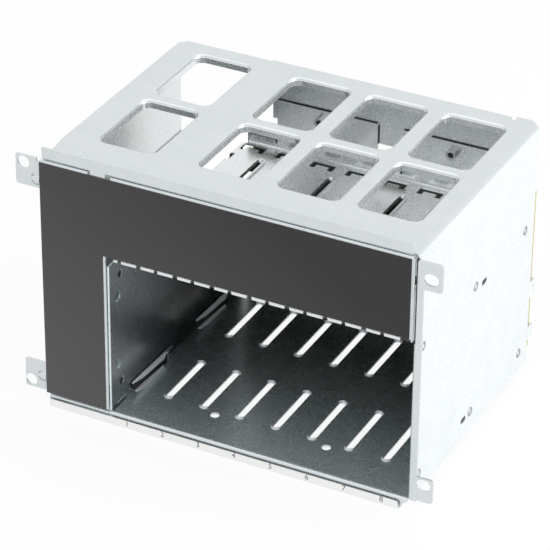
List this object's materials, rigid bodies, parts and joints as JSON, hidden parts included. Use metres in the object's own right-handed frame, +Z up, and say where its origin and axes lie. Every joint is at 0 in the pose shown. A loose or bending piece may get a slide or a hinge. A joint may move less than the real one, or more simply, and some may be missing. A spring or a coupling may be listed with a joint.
{
  "type": "hot swap drive cage",
  "caption": "Open sheet steel hot swap cage for 2.5 inch drives standing on edge, with black front panel, windowed top plate, numbered lip, backplane and mounting ears.",
  "frame": {"origin": "middle of the cage's footprint at the level of its lowest edges, the front lip and the rear foot", "axes": "+X to the right along the front, +Y from the open front to the backplane, +Z up"},
  "size_m": [0.1942, 0.1404, 0.1256],
  "materials": {
    "zinc_steel": "zinc coated sheet, satin",
    "black_film": "matt black film",
    "board_laminate": "green solder mask, pale laminate at the edges",
    "connector_black": "moulded",
    "receptacle_steel": "tinned sheet",
    "header_plastic": "moulded",
    "chip_plastic": "moulded",
    "fastener_steel": "zinc plated"
  },
  "bodies": {
    "root": {"outer_shell": "zinc_steel", "left_side_panel": "zinc_steel", "front_plate": "zinc_steel", "front_fascia": "black_film", "base_plate": "zinc_steel", "bay_shelf": "zinc_steel", "backplane_board": "board_laminate", "drive_connector_1": "connector_black", "drive_connector_2": "connector_black", "drive_connector_3": "connector_black", "drive_connector_4": "connector_black", "drive_connector_5": "connector_black", "drive_connector_6": "connector_black", "drive_connector_7": "connector_black", "drive_connector_8": "connector_black", "signal_receptacle_1": "receptacle_steel", "signal_receptacle_2": "receptacle_steel", "power_header": "header_plastic", "controller_chip": "chip_plastic", "clinch_nuts": "fastener_steel", "cover_screws": "fastener_steel", "backplane_screws": "fastener_steel"}
  },
  "joints": []
}
